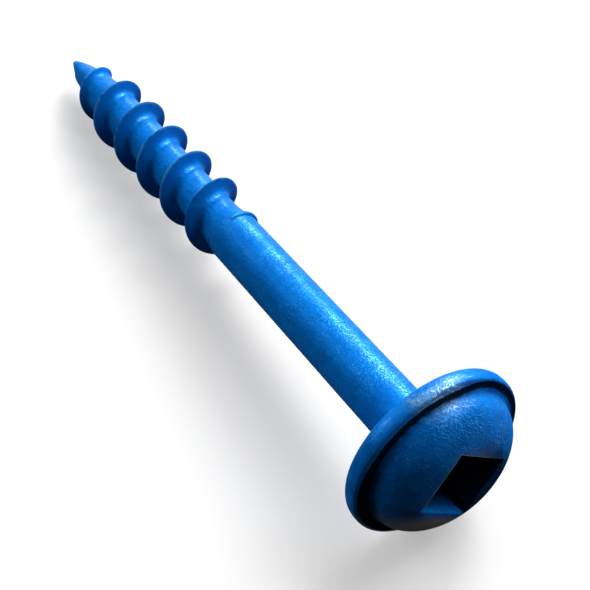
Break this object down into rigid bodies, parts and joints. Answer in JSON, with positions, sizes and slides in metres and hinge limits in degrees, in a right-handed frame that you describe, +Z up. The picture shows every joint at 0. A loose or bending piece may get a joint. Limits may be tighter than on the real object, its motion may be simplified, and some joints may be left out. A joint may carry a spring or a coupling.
{
  "type": "pocket hole screw",
  "caption": "Wood screw with a washer head, square recess, smooth shank, deep coarse thread and notched point, coated blue.",
  "frame": {"origin": "centre of the bearing face under the head, on the screw's axis", "axes": "The screw lies on its side as it comes to rest: the tip points towards -X and slopes down, +Z is up. Its long dimension lies along X."},
  "size_m": [0.0407, 0.0088, 0.0088],
  "materials": {
    "blue_coating": "satin blue coating over steel, lightly speckled, with worn edges"
  },
  "bodies": {
    "root": {"screw": "blue_coating"}
  },
  "joints": []
}
